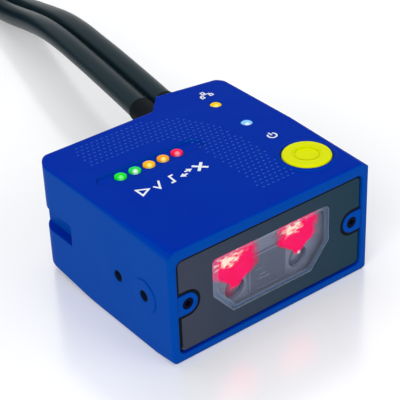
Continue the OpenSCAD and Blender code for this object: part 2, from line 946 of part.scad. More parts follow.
// Front lens element, crowned towards the window
module front_lens() {
    color("#39424F", 0.6)
    crowned_y(0, optics_z, barrel_y0 + lens_sink + lens_t, lens_r, lens_t, lens_t / 2);
}

module lens_holder() {
    color(black)
    difference() {
        along_y(holder_y0, sensor_y0)
            soft_box([-holder_half, optics_z - holder_half],
                [holder_half, optics_z + holder_half], holder_r);
        rod_y(0, optics_z, holder_y0 - past, sensor_y0 + past, barrel_r + slip / 2);
        block([-holder_pocket, sensor_y0 - chip_t - lens_sink, optics_z - holder_pocket],
            [holder_pocket, sensor_y0 + past, optics_z + holder_pocket]);
    }
}

module image_sensor() {
    color("#20262E")
    block([-sensor_half[0], sensor_y0 - chip_t, optics_z - sensor_half[1]],
        [sensor_half[0], sensor_y0, optics_z + sensor_half[1]]);
}

module sensor_board() {
    color(board_green)
    block([-sensor_x, sensor_y0, board_z0], [sensor_x, sensor_y1, board_z1]);
}

module board_spacers() {
    color(steel)
    both_sides()
        for (z = [board_z0 + spacer_inset, board_z1 - spacer_inset])
            rod_y(spacer_x, z, lamp_board_y1, sensor_y0, spacer_r);
}

// Electronics

module main_board() {
    color(board_green)
    block([-main_x, main_y0, main_z], [main_x, main_y1, main_top]);
}

module processor() {
    color(black)
    translate([-chip_x, chip_y, main_top]) cube(processor_size);
}

module memory_chip() {
    color(black)
    translate([chip_x - memory_size[0], chip_y, main_top]) cube(memory_size);
}

// Flat cable from the sensor board down to the main board
module board_flex() {
    color("#C98A3A")
    along_x(-flex_w / 2, flex_w / 2)
        intersection() {
            translate([sensor_y1 + flex_r, main_top + flex_r])
                difference() {
                    circle(r = flex_r);
                    circle(r = flex_r - flex_t);
                }
            square_between([sensor_y1, main_top], [sensor_y1 + flex_r, main_top + flex_r]);
        }
}

module board_connector() {
    color("#D9D2BE")
    block([-plug_size[0] / 2, main_y1 - plug_inset - plug_size[1], main_top],
        [plug_size[0] / 2, main_y1 - plug_inset, io_z]);
}

module stack_spacers() {
    color(steel)
    both_sides()
        for (y = stack_y)
            rod([post_x, y], main_top, io_z, spacer_r);
}

module interface_board() {
    color(board_green)
    block([-main_x, io_y0, io_z], [main_x, main_y1, io_top]);
}

module network_transformer() {
    color(black)
    translate([0, io_y0 + transformer_inset, io_top]) cube(transformer_size);
}

module lead_connector() {
    color("#E6E2D6")
    translate([main_x - jack_inset[0] - jack_size[0], main_y1 - jack_inset[1] - jack_size[1], io_top])
        cube(jack_size);
}

// Lights and button

module hmi_board() {
    tongue_x0 = button_at[0] - switch_half - tongue_free;
    color(board_green)
    difference() {
        union() {
            block([-cav_x + hmi_margin, hmi_y0, hmi_z], [cav_x - hmi_margin, main_y1, hmi_top]);
            block([tongue_x0, frame_y1 - hmi_margin, hmi_z], [cav_x - hmi_margin, hmi_y0, hmi_top]);
        }
        for (at = hmi_boss_at)
            rod(at, hmi_z - past, hmi_top + past, hmi_screw_r + slip);
    }
}

module hmi_screws() {
    color(steel)
    for (at = hmi_boss_at) {
        rod(at, hmi_z - hmi_head_h, hmi_z, hmi_head_r);
        rod(at, hmi_z, cav_z1 - hmi_screw_free, hmi_screw_r);
    }
}

// Small lamps under the light pipes
module indicator_leds() {
    size = [1.8, 1, led_t];
    places = concat([for (x = light_x) [x, light_y]], [for (y = [net_light_y, light_y]) [single, y]]);
    color("#EFEBDD")
    for (at = places)
        translate([at[0] - size[0] / 2, at[1] - size[1] / 2, hmi_top]) cube(size);
}

// Light pipe: a collar under the top wall, a rod through it and a domed end
module light_pipe(at, top) {
    collar_r = light_pitch / 2 - slip;
    collar_h = 0.8;
    foot = hmi_top + led_t;
    translate([at[0], at[1], foot]) crowned(pipe_r, top - foot, dome);
    rod(at, cav_z1 - collar_h, cav_z1, collar_r);
}

module status_light(i, tint) {
    color(tint) light_pipe([light_x[i], light_y], body_h - slot_depth + light_rise + dome);
}

module status_light_1() { status_light(0, "#17E03C"); }
module status_light_2() { status_light(1, "#2BE84B"); }
module status_light_3() { status_light(2, "#FFC814"); }
module status_light_4() { status_light(3, "#FFA214"); }
module status_light_5() { status_light(4, "#FF1744"); }
module network_light() { color("#FFD21A") light_pipe([single, net_light_y], body_h + dome / 2); }
module power_light() { color("#CDEFFF") light_pipe([single, light_y], body_h + dome / 2); }

// Push button: a cap with a dished middle, a skirt with a collar, and a stem on the switch
module push_button() {
    cap_t = 1.8;
    cap_r = 0.45;
    skirt_t = 1.05;
    top = body_h + button_rise;
    low = cav_z1 - slip - collar_t;
    dish_r = 2.75;
    dish = 0.3;
    groove = 0.25;
    color("#D6E400")
    translate([button_at[0], button_at[1], 0])
        rotate_extrude()
            difference() {
                union() {
                    soft_polygon([[0, top - cap_t], [button_r, top - cap_t], [button_r, top], [0, top]],
                        [0, 0, cap_r, 0]);
                    square_between([button_r - skirt_t, low], [button_r, top - cap_t + slip]);
                    square_between([button_r - skirt_t, low], [button_r + collar_w, low + collar_t]);
                    square_between([0, plunger_top], [plunger_r, top - cap_t + slip]);
                }
                square_between([-past, top - dish], [dish_r - groove, top + past]);
                translate([dish_r, top]) circle(r = groove);
            }
}

module switch_body() {
    color("#26292E")
    difference() {
        block([button_at[0] - switch_half, button_at[1] - switch_half, hmi_top],
            [button_at[0] + switch_half, button_at[1] + switch_half, hmi_top + switch_h]);
        rod(button_at, hmi_top + switch_floor, hmi_top + switch_h + past, plunger_r + slip);
    }
}

module switch_plunger() {
    color("#E8E4D8")
    rod(button_at, hmi_top + switch_floor + slip + button_travel, plunger_top, plunger_r);
}

// Leads

module cable_boot() {
    color(black)
    at_outlet() {
        along_y(-boot_root, 0) lead_pair(boot_fit_r);
        along_y(0, boot_flange_t) lead_pair(boot_flange_r);
        for (x = [-lead_pitch / 2, lead_pitch / 2])
            cone_y(x, 0, boot_flange_t, boot_len, boot_r, boot_tip_r);
    }
}

// Directions of a route at its points
function heading(pts, i) = unit(pts[min(i + 1, len(pts) - 1)] - pts[max(i - 1, 0)]);
function beside(d) = unit(cross(d, [0, 0, 1]));
function ring_point(pts, i, a) = let(d = heading(pts, i), u = beside(d), v = cross(u, d))
    pts[i] + (u * cos(a) + v * sin(a)) * lead_d / 2;

// Tube swept along a route
module lead_tube(pts) {
    n = lead_sides;
    last = len(pts) - 1;
    corners = [for (i = [0:last], k = [0:n - 1]) ring_point(pts, i, 360 * k / n)];
    sides = [for (i = [0:last - 1], k = [0:n - 1])
        [i * n + k, i * n + (k + 1) % n, (i + 1) * n + (k + 1) % n, (i + 1) * n + k]];
    ends = [[for (k = [n - 1:-1:0]) k], [for (k = [0:n - 1]) last * n + k]];
    color(black) polyhedron(points = corners, faces = concat(sides, ends));
}

// Outer shape of one coil, on a given level
module coil(level) {
    color(black)
    translate([coil_at[0], coil_at[1], level])
        rotate_extrude($fn = ring_sides)
            translate([turn_r, 0])
                soft_box([-coil_half, 0], [coil_half, coil_h], lead_d / 2);
}

// Strap round both coils
module coil_tie() {
    color("#303338")
    translate([coil_at[0], coil_at[1], 0]) rotate([0, 0, tie_turn])
        along_y(-tie_w / 2, tie_w / 2)
            difference() {
                square_between([turn_r - tie_half - tie_t, 0],
                    [turn_r + tie_half + tie_t, 2 * coil_h + 2 * tie_t]);
                square_between([turn_r - tie_half, tie_t], [turn_r + tie_half, 2 * coil_h + tie_t]);
            }
}

module power_lead() { lead_tube(power_route); }
module network_lead() { lead_tube(network_route); }
module power_tail() { lead_tube(power_tail_route); }
module network_tail() { lead_tube(network_tail_route); }
module power_coil() { coil(tie_t); }
module network_coil() { coil(tie_t + coil_h); }

// Frame at the end of a tail, +Z along the connector
module at_plug(route) {
    end = route[len(route) - 1];
    translate(end) rotate([90, 0, 0]) children();
}

// Moulded body of a circular connector, from the lead to the contact face
module plug_body(route) {
    color(black)
    at_plug(route) {
        cylinder(r1 = plug_neck_r, r2 = plug_body_r, h = plug_neck_len);
        translate([0, 0, plug_neck_len]) cylinder(r = plug_body_r, h = plug_body_len);
        translate([0, 0, plug_neck_len + plug_body_len]) cylinder(r = plug_nose_r, h = plug_nose_len);
    }
}

// Knurled coupling nut of a circular connector
module plug_nut(route) {
    color(steel)
    at_plug(route)
        translate([0, 0, plug_neck_len + plug_body_len + nut_gap])
            difference() {
                cylinder(r = plug_r, h = nut_len);
                translate([0, 0, -past]) cylinder(r = plug_nose_r + slip, h = nut_len + 2 * past);
                for (k = [0:knurls - 1])
                    rotate([0, 0, 360 * k / knurls])
                        translate([plug_r + knurl_r / 2, 0, -past])
                            cylinder(r = knurl_r, h = nut_len + 2 * past);
            }
}

module power_plug() { plug_body(power_tail_route); }
module power_plug_nut() { plug_nut(power_tail_route); }
module network_plug() { plug_body(network_tail_route); }
module network_plug_nut() { plug_nut(network_tail_route); }

housing();
base_cover();
base_gasket();
cover_screws();
window_plate();
window_pane();
window_gasket();
front_screws();
optics_frame();
upper_reflectors();
upper_leds();
lower_lenses();
lower_leds();
illuminator_board();
lens_barrel();
front_lens();
lens_holder();
image_sensor();
sensor_board();
board_spacers();
main_board();
processor();
memory_chip();
board_flex();
board_connector();
stack_spacers();
interface_board();
network_transformer();
lead_connector();
hmi_board();
hmi_screws();
indicator_leds();
status_light_1();
status_light_2();
status_light_3();
status_light_4();
status_light_5();
network_light();
power_light();
push_button();
switch_body();
switch_plunger();
cable_boot();
power_lead();
power_coil();
power_tail();
power_plug();
power_plug_nut();
network_lead();
network_coil();
network_tail();
network_plug();
network_plug_nut();
coil_tie();
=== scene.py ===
# %% [markdown]
# # A small fixed barcode reader, dressed for a product picture
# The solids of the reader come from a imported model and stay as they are. This file adds what solids cannot
# carry: paint, print, glass, light and two flexible leads. Lengths on the object are given in millimetres,
# because that is how such a device is drawn, and one factor turns them into metres.

# %% Load the solids
import math

import bpy
from mathutils import Matrix, Vector


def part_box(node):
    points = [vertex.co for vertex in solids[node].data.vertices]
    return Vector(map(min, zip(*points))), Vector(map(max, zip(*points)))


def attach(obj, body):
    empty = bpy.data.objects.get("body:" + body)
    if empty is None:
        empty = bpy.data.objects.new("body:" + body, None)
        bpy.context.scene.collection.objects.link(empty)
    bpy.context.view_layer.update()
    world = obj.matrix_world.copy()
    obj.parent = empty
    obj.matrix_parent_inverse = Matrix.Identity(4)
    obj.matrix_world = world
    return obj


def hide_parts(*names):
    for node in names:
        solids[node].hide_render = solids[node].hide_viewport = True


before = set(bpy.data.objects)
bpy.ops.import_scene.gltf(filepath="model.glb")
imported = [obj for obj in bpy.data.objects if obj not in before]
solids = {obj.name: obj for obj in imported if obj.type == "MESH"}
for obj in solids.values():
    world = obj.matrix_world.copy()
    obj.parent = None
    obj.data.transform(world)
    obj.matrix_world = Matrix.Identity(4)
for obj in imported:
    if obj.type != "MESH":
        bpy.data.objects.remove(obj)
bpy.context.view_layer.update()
MM = 0.001

# %% [markdown]
# ## The camera
# A product picture is taken from a distance with a long lens, so that edges stay nearly parallel. A camera can
# be aimed by a tracking constraint or by its matrix. Here three plain turns (heading, tilt, roll) make the
# matrix, because each is a number with a meaning. They were found by lining the reader's edges up with the
# picture.

# %% Camera
camera_place = Vector((-141.4, -192.07, 167.39)) * MM
camera_heading = math.radians(36.70)
camera_tilt = math.radians(32.66)
camera_roll = math.radians(-2.39)
camera_data = bpy.data.cameras.new("camera")
camera_data.lens = 123.9
camera_data.sensor_width = 36.0
camera_data.shift_x = -0.0016
camera_data.shift_y = 0.001
camera_data.clip_start = 10 * MM
camera = bpy.data.objects.new("camera", camera_data)
bpy.context.scene.collection.objects.link(camera)
camera.matrix_world = (
    Matrix.Translation(camera_place)
    @ Matrix.Rotation(-camera_heading, 4, "Z")
    @ Matrix.Rotation(math.pi / 2 - camera_tilt, 4, "X")
    @ Matrix.Rotation(camera_roll, 4, "Z")
)
bpy.context.scene.camera = camera
print("camera", round(camera_data.lens, 1), "mm lens")

# %% [markdown]
# ## The leads
# Two round leads leave the strain relief, sink to the table and run to a neat coil, where the stored length
# lies in two layers. A lead could be a mesh swept along a path. A curve object with a round bevel is easier to
# change: its line is the core of the lead, and its thickness is one number. The first and last stretches are
# listed points, on the same route as the solids. The turns come from a loop: inwards on the table, up at the
# inside, and outwards on top.

# %% Stretches given as points
lead_width = 5.6
power_out = [(15.12, 39.58, 14), (16.11, 45.49, 14), (17.7, 55, 13.9), (19.4, 65, 13.7), (21, 75, 13.5),
             (22.7, 85, 13), (24.4, 95, 11.8), (26.1, 105, 9.7), (27.7, 115, 7.2), (29.4, 125, 4.9),
             (31.1, 135, 3.3), (32.8, 145, 2.8), (34.4, 155, 3), (36.1, 165, 3.3)]
network_out = [(21.23, 38.55, 14), (22.22, 44.47, 14), (24, 55, 13.9), (25.7, 65, 13.7), (27.3, 75, 13.4),
               (29, 85, 12.9), (30.7, 95, 11.6), (32.3, 105, 9.4), (34, 115, 6.9), (35.7, 125, 4.5),
               (37, 133, 3.4), (38.4, 142, 4.6), (39.4, 152, 8.7), (39.6, 161, 13.2), (38.8, 168, 15.1)]
power_end = [(-33.3, 172, 8.7), (-33.3, 164, 7.5), (-33.3, 156, 7.3)]
network_end = [(-33, 172, 20.5), (-31.1, 163, 18.3), (-26.7, 153, 14.2), (-21.2, 143, 9.7), (-17.6, 134, 7.3),
               (-17.6, 126, 7.3)]
print("points laid by hand:", len(power_out + power_end), len(network_out + network_end))

# %% Turns of the coils
turn_gap = 0.2
turn_pitch = lead_width + turn_gap
coil_middle = (2.8, 180.0)
coil_outer = 35.4
coil_start = math.radians(-9.5)
turns_in, turns_rise, turns_out = 2.0, 0.42, 2.106
# The climb begins before the inner end and takes over half a turn, so that the lead bends gently.
climb_early, climb_turns = 0.12, 0.54
steps_per_turn = 24
power_coil_z, network_coil_z = 3.5, 15.1


def smooth(t):
    t = min(max(t, 0.0), 1.0)
    return t * t * (3 - 2 * t)


def coil_points(first_z):
    points = []
    turns = turns_in + turns_rise + turns_out
    for i in range(round(turns * steps_per_turn) + 1):
        turn = i / steps_per_turn
        radius = coil_outer - turn_pitch * min(turn, turns_in)
        radius += turn_pitch * max(turn - turns_in - turns_rise, 0.0)
        height = first_z + turn_pitch * smooth((turn - turns_in + climb_early) / climb_turns)
        angle = coil_start + 2 * math.pi * turn
        points.append((coil_middle[0] + radius * math.cos(angle),
                       coil_middle[1] + radius * math.sin(angle), height))
    return points


power_path = power_out + coil_points(power_coil_z) + power_end
network_path = network_out + coil_points(network_coil_z) + network_end
print("points in all:", len(power_path), len(network_path))


# %% Draw the leads
def path_length(path):
    return sum(math.dist(a, b) for a, b in zip(path, path[1:]))


def lay_lead(name, path, old_nodes):
    data = bpy.data.curves.new(name, "CURVE")
    data.dimensions = "3D"
    data.resolution_u = 5
    data.bevel_depth = 1.0
    data.bevel_resolution = 5
    data.use_fill_caps = True
    spline = data.splines.new("BEZIER")
    spline.bezier_points.add(len(path) - 1)
    for knot, point in zip(spline.bezier_points, path):
        knot.co = Vector(point) * MM
        knot.radius = lead_width / 2 * MM
        knot.handle_left_type = knot.handle_right_type = "AUTO"
    lead = bpy.data.objects.new(name, data)
    bpy.context.scene.collection.objects.link(lead)
    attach(lead, "reader")
    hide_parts(*old_nodes)
    print(name, round(path_length(path)), "mm")


lay_lead("power_cable", power_path, ["power_lead", "power_coil", "power_tail"])
lay_lead("network_cable", network_path, ["network_lead", "network_coil", "network_tail"])


# %% [markdown]
# ## Helpers for materials
# Colours are written the way a painter's chart gives them, as sRGB hex, and turned to the linear values that
# a renderer needs. Nodes could be placed one by one in the editor. Here one function adds a node, fills its
# sockets and joins it to others, so that each material below reads as a short list. Almost every surface has
# a fine grain. The real one is often only hundredths of a millimetre wide, so it is drawn in tenths, as
# coarse as it needs to be to show.

# %% Colours and nodes
def linear(hex_colour):
    channels = [int(hex_colour[i:i + 2], 16) / 255 for i in (1, 3, 5)]
    return (*[c / 12.92 if c <= 0.04045 else ((c + 0.055) / 1.055) ** 2.4 for c in channels], 1.0)


def add(tree, kind, inputs=None, **settings):
    made = tree.nodes.new(kind)
    for key, value in settings.items():
        setattr(made, key, value)
    for socket, value in (inputs or {}).items():
        if isinstance(value, bpy.types.NodeSocket):
            tree.links.new(value, made.inputs[socket])
        else:
            made.inputs[socket].default_value = value
    return made


def per(size_mm):
    return 1 / (size_mm * MM)


print("middle grey in linear light:", round(linear("#808080")[0], 3))


# %% Materials
# A socket's name is given with underscores. Output 2 of a Mix node is its colour.
def start_material(name, colour, roughness, **sockets):
    made = bpy.data.materials.new(name)
    made.use_nodes = True
    shader = made.node_tree.nodes["Principled BSDF"]
    shader.inputs["Base Color"].default_value = linear(colour)
    shader.inputs["Roughness"].default_value = roughness
    for socket, value in sockets.items():
        shader.inputs[socket.replace("_", " ")].default_value = value
    return made, made.node_tree, shader


def grain(tree, shader, size_mm, depth_mm, strength=1.0, under=None):
    place = add(tree, "ShaderNodeTexCoord")
    noise = add(tree, "ShaderNodeTexNoise", {"Vector": place.outputs["Object"], "Scale": per(size_mm),
                                             "Detail": 3.0})
    bump = add(tree, "ShaderNodeBump", {"Height": noise.outputs["Fac"], "Distance": depth_mm * MM,
                                        "Strength": strength})
    if under:
        tree.links.new(under, bump.inputs["Normal"])
    tree.links.new(bump.outputs["Normal"], shader.inputs["Normal"])
    return noise


def give(made, *names):
    for name in names:
        piece = solids[name] if name in solids else bpy.data.objects[name]
        piece.data.materials.clear()
        piece.data.materials.append(made)
    print(made.name, "on", ", ".join(names))


print("pattern scale for a grain of 0.5 mm:", round(per(0.5)))

# %% [markdown]
# ## The blue housing
# The housing is cast aluminium with a baked satin paint. A cast edge is never knife sharp. It could be rounded
# in the mesh, but the solids stay as they are, so a bevel node softens every corner in the shading. The paint
# has a fine skin, like that of an orange. Its tone follows the way that a face of the object points: upright
# faces get a lighter, greener blue than level ones. This is painted light that stands in for how the lamps fall
# on the sides and on the top.

# %% Blue paint
# Satin: a broad dim sheen in the paint's own hue, so the blue stays deep from every side.
blue_paint, tree, shader = start_material("satin_blue_paint_on_cast_aluminium", "#0236A6", 0.45,
                                          Specular_IOR_Level=0.02, Specular_Tint=linear("#2E9CFF"))
soft_edge = add(tree, "ShaderNodeBevel", {"Radius": 0.45 * MM}, samples=6)
grain(tree, shader, size_mm=0.5, depth_mm=0.02, strength=0.5, under=soft_edge.outputs["Normal"])
# Painted light: upright faces are mixed towards a lighter, greener blue than level ones, standing in for how
# the lamps fall on them; the cloud varies the tone at random.
upright_lit_tone, level_lit_tone = linear("#0149A7"), linear("#0029A3")
cloud_share, cloud_size = 0.2, 9
steep_z, level_z = 0.3, 0.95
place = add(tree, "ShaderNodeTexCoord")
facing = add(tree, "ShaderNodeSeparateXYZ", {"Vector": place.outputs["Normal"]})
level = add(tree, "ShaderNodeMapRange", {"Value": facing.outputs["Z"], "From Min": steep_z,
                                         "From Max": level_z, "To Max": 1 - cloud_share})
cloud = add(tree, "ShaderNodeTexNoise", {"Vector": place.outputs["Object"], "Scale": per(cloud_size)})
cloud_and_facing_light = add(tree, "ShaderNodeMath", {0: cloud.outputs["Fac"], 1: cloud_share, 2: level.outputs["Result"]},
           operation="MULTIPLY_ADD")
tone = add(tree, "ShaderNodeMix", {"Factor": cloud_and_facing_light.outputs["Value"], "A": upright_lit_tone, "B": level_lit_tone},
           data_type="RGBA")
tree.links.new(tone.outputs[2], shader.inputs["Base Color"])
give(blue_paint, "housing", "base_cover")

# %% [markdown]
# ## The window
# The dark plate is smoked acrylic with a hard coat, and the pane in it is clear. Behind the pane a pale grey
# moulding carries two bright red lamps and two small ones. The pane could be true glass. It is made
# see-through by its alpha instead, with only a trace of haze left, because that keeps the lamps readable and
# needs no slow light paths.

# %% Window plate
# Smoked: dark under a dull gloss, with a painted reflection that is lighter and violet at the left end and
# darker and green at the right.
smoked, tree, shader = start_material("smoked_acrylic_with_hard_coat", "#2C3744", 0.32,
                                      Specular_IOR_Level=0.04)
# The sweep from the left end to the right is a painted reflection.
plate_sweep_half = 22 * MM
place = add(tree, "ShaderNodeTexCoord")
apart = add(tree, "ShaderNodeSeparateXYZ", {"Vector": place.outputs["Object"]})
across = add(tree, "ShaderNodeMapRange", {"Value": apart.outputs["X"], "From Min": -plate_sweep_half,
                                          "From Max": plate_sweep_half})
painted_reflection_tone = add(tree, "ShaderNodeMix", {"Factor": across.outputs["Result"], "A": linear("#3C4253"),
                                    "B": linear("#183848")}, data_type="RGBA")
tree.links.new(painted_reflection_tone.outputs[2], shader.inputs["Base Color"])
grain(tree, shader, size_mm=0.25, depth_mm=0.004, strength=0.4)
give(smoked, "window_plate")

# %% Clear pane
# Clear: almost nothing of its own, only a thin veil of haze over what lies behind.
pane_glass, tree, shader = start_material("clear_pane_with_slight_haze", "#A4AEC2", 0.12, Alpha=0.015)
grain(tree, shader, size_mm=4.0, depth_mm=0.004, strength=0.2)
give(pane_glass, "window_pane")

# %% Moulding, lamps and cups behind the pane
# Pale matt plastic: it gathers the light that falls through the pane and reads as a soft grey.
moulding, tree, shader = start_material("pale_moulded_polycarbonate", "#747C92", 0.55)
grain(tree, shader, size_mm=0.35, depth_mm=0.01, strength=0.5)
give(moulding, "optics_frame")

# Lit resin: a hot core that is brighter than anything around it.
lamp_red, tree, shader = start_material("lit_red_lamp_resin", "#C01038", 0.2,
                                        Emission_Color=linear("#FF5A7C"), Emission_Strength=1.0)
grain(tree, shader, size_mm=0.6, depth_mm=0.02, strength=0.5)
give(lamp_red, "upper_leds")

# Plated cup: its red tint and its glow in uneven patches are painted red light that it throws back.
cup_red, tree, shader = start_material("bright_plated_cup_in_red_light", "#C02048", 0.25, Metallic=0.85,
                                       Emission_Color=linear("#D80A48"))
patches = grain(tree, shader, size_mm=1.3, depth_mm=0.15, strength=0.9)
dim_patch, bright_patch = 0.35, 0.7
dim_glow, bright_glow = 0.35, 0.9
glow = add(tree, "ShaderNodeMapRange", {"Value": patches.outputs["Fac"], "From Min": dim_patch,
                                        "From Max": bright_patch, "To Min": dim_glow,
                                        "To Max": bright_glow})
tree.links.new(glow.outputs["Result"], shader.inputs["Emission Strength"])
give(cup_red, "upper_reflectors")

# %% Lenses
# Coated glass: a cool grey film that hides most of the dark behind it. The left lens has a painted red
# highlight of the lamp light.
lens_glass, tree, shader = start_material("coated_lens_glass", "#6C7690", 0.08, Alpha=0.75, IOR=1.52)
red_edge, red_full, red_share = -7 * MM, -9 * MM, 0.55
place = add(tree, "ShaderNodeTexCoord")
apart = add(tree, "ShaderNodeSeparateXYZ", {"Vector": place.outputs["Object"]})
painted_red_highlight = add(tree, "ShaderNodeMapRange", {"Value": apart.outputs["X"], "From Min": red_edge,
                                        "From Max": red_full, "To Max": red_share})
tint = add(tree, "ShaderNodeMix", {"Factor": painted_red_highlight.outputs["Result"], "A": linear("#6C7690"),
                                   "B": linear("#E02860")}, data_type="RGBA")
tree.links.new(tint.outputs[2], shader.inputs["Base Color"])
grain(tree, shader, size_mm=3.0, depth_mm=0.003, strength=0.2)
give(lens_glass, "lower_lenses", "front_lens")

# Clear resin: a small pale lump that shows its lamp only when it is lit.
lamp_clear, tree, shader = start_material("clear_lamp_resin", "#E8DCD0", 0.18)
grain(tree, shader, size_mm=0.5, depth_mm=0.01, strength=0.3)
give(lamp_clear, "lower_leds", "indicator_leds")

# %% [markdown]
# ## Lights and button on top
# Each light is the crowned end of a clear rod with a small lamp under it. A real lamp in each rod would be
# noisy to render, so the rod itself glows: palest in a painted highlight a little off the middle, deeper
# further out, and dim at the rim in a painted shade. The button is a tough moulded plastic with a fine
# spark-eroded grain.

# %% Light pipes
# Lit plastic rods: a saturated body with a painted pale highlight a little off the middle and a painted shaded
# rim, told apart by the distance from the highlight and from the axis.
pipe_tints = {"status_light_1": ("green", "#00E01C", "#7CFF8C"),
              "status_light_2": ("green", "#10D850", "#E4FFF4"),
              "status_light_3": ("amber", "#FFB800", "#FFF884"),
              "status_light_4": ("orange", "#F8A008", "#FFF090"),
              "status_light_5": ("red", "#FA1044", "#FF98B0"),
              "network_light": ("yellow", "#FFCC00", "#FFF87C"),
              "power_light": ("pale", "#84CAFA", "#E8FAFF")}
highlight_shift = Vector((-0.4, -0.8, 0.0)) * MM
highlight_inner, highlight_outer = 0.1 * MM, 0.8 * MM
rim_share, shaded_rim_glow = 0.62, 0.2
for name, (tint, body, spot) in pipe_tints.items():
    pipe, tree, shader = start_material(f"lit_{tint}_light_pipe_{name}", "#080808", 0.2,
                                        Specular_IOR_Level=0.04)
    low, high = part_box(name)
    rod_radius = (high.x - low.x) / 2
    axis = Vector(((low.x + high.x) / 2, (low.y + high.y) / 2, 0.0))
    place = add(tree, "ShaderNodeTexCoord")
    flat = add(tree, "ShaderNodeVectorMath", {0: place.outputs["Object"], 1: (1, 1, 0)}, operation="MULTIPLY")
    from_highlight = add(tree, "ShaderNodeVectorMath", {0: flat.outputs["Vector"], 1: axis + highlight_shift},
                    operation="DISTANCE")
    from_axis = add(tree, "ShaderNodeVectorMath", {0: flat.outputs["Vector"], 1: axis}, operation="DISTANCE")
    edge = add(tree, "ShaderNodeMapRange", {"Value": from_highlight.outputs["Value"], "From Min": highlight_inner,
                                            "From Max": highlight_outer}, interpolation_type="SMOOTHSTEP")
    colour = add(tree, "ShaderNodeMix", {"Factor": edge.outputs["Result"], "A": linear(spot),
                                         "B": linear(body)}, data_type="RGBA")
    tree.links.new(colour.outputs[2], shader.inputs["Emission Color"])
    # Painted shade: the glow dims towards the rim of each rod.
    painted_rim_shade = add(tree, "ShaderNodeMapRange", {"Value": from_axis.outputs["Value"],
                                            "From Min": rim_share * rod_radius, "From Max": rod_radius,
                                            "To Min": 1.0, "To Max": shaded_rim_glow},
               interpolation_type="SMOOTHSTEP")
    tree.links.new(painted_rim_shade.outputs["Result"], shader.inputs["Emission Strength"])
    grain(tree, shader, size_mm=0.8, depth_mm=0.01, strength=0.3)
    give(pipe, name)

# %% Button
# Moulded polyamide: a strong yellow-green whose gloss is as yellow as itself.
lime, tree, shader = start_material("lime_moulded_polyamide", "#DEE600", 0.45, Specular_IOR_Level=0.12,
                                    Specular_Tint=linear("#FFF000"))
soft_edge = add(tree, "ShaderNodeBevel", {"Radius": 0.15 * MM}, samples=4)
grain(tree, shader, size_mm=0.3, depth_mm=0.012, strength=0.5, under=soft_edge.outputs["Normal"])
give(lime, "push_button")

# %% [markdown]
# ## Rubber, leads and metal
# The strain relief is soft black rubber. The leads have a harder sheath with a faint sheen. Screws and coupling
# nuts are plated, and the two front screws are black. Dark things could all share one black, but the eye
# tells them apart by their gloss, so each has its own roughness and grain.

# %% Rubber and sheath
# Moulded rubber: it swallows light and shows hardly any edge.
rubber, tree, shader = start_material("black_moulded_rubber", "#060C10", 0.62, Specular_IOR_Level=0.05)
grain(tree, shader, size_mm=0.4, depth_mm=0.02, strength=0.6)
give(rubber, "cable_boot", "base_gasket", "window_gasket")

# Extruded polyurethane: a faint teal sheen along the ridge of the lead.
sheath, tree, shader = start_material("black_polyurethane_sheath", "#0A1D24", 0.34, Specular_IOR_Level=0.14,
                                      Specular_Tint=linear("#A8E4F4"))
grain(tree, shader, size_mm=0.8, depth_mm=0.02, strength=0.4)
give(sheath, "power_cable", "network_cable")

# %% Plastic, strap and barrel
# Moulded plastic: black with an even half-gloss.
black_plastic, tree, shader = start_material("black_moulded_plastic", "#16181B", 0.5)
grain(tree, shader, size_mm=0.35, depth_mm=0.015, strength=0.5)
give(black_plastic, "power_plug", "network_plug", "lens_holder", "switch_body")

# Looped nylon strap: soft and fuzzy, with no gloss at all.
strap, tree, shader = start_material("black_looped_nylon_strap", "#1B1D20", 0.9, Sheen_Weight=0.4)
grain(tree, shader, size_mm=0.25, depth_mm=0.12)
give(strap, "coil_tie")

# Anodised barrel: dark metal that the pale room turns to grey.
barrel, tree, shader = start_material("grey_anodised_lens_barrel", "#565E70", 0.4)
grain(tree, shader, size_mm=0.3, depth_mm=0.01, strength=0.4)
give(barrel, "lens_barrel")

# %% Metal
# Nickel plate: bright, with soft edges where turning and plating have rounded them.
plated, tree, shader = start_material("nickel_plated_brass_and_steel", "#B9BCC0", 0.28, Metallic=1.0)
soft_edge = add(tree, "ShaderNodeBevel", {"Radius": 0.1 * MM}, samples=4)
grain(tree, shader, size_mm=0.2, depth_mm=0.005, strength=0.4, under=soft_edge.outputs["Normal"])
give(plated, "power_plug_nut", "network_plug_nut", "cover_screws", "hmi_screws", "board_spacers",
     "stack_spacers")

# Blackened steel: an oxide film that takes nearly all the shine.
black_steel, tree, shader = start_material("blackened_steel_screw", "#04081C", 0.6, Specular_IOR_Level=0.03)
grain(tree, shader, size_mm=0.2, depth_mm=0.005, strength=0.4)
give(black_steel, "front_screws")

# %% [markdown]
# ## Boards inside
# The boards stay hidden in a finished reader, but an opened view should still look right: green solder mask
# with traces, black chips, ivory connectors and an amber flat cable. Traces could be drawn one by one. A brick
# pattern gives the same busy grid from a single node.

# %% Circuit boards
# Solder mask: glossy green, with lighter lines where copper runs under it.
board, tree, shader = start_material("green_solder_mask_on_glass_laminate", "#1E5B3A", 0.35)
trace_pitch, trace_width = 3.0, 0.03
place = add(tree, "ShaderNodeTexCoord")
traces = add(tree, "ShaderNodeTexBrick", {"Vector": place.outputs["Object"], "Scale": per(trace_pitch),
                                          "Mortar Size": trace_width, "Color1": linear("#1E5B3A"),
                                          "Color2": linear("#1B5335"), "Mortar": linear("#3C8A57")})
tree.links.new(traces.outputs["Color"], shader.inputs["Base Color"])
grain(tree, shader, size_mm=0.4, depth_mm=0.006, strength=0.4)
give(board, "illuminator_board", "sensor_board", "main_board", "interface_board", "hmi_board")

# %% Parts on the boards
# Moulded resin: dull black blocks.
chips, tree, shader = start_material("black_moulded_resin", "#17181A", 0.45)
grain(tree, shader, size_mm=0.2, depth_mm=0.01, strength=0.5)
give(chips, "processor", "memory_chip", "network_transformer", "image_sensor")

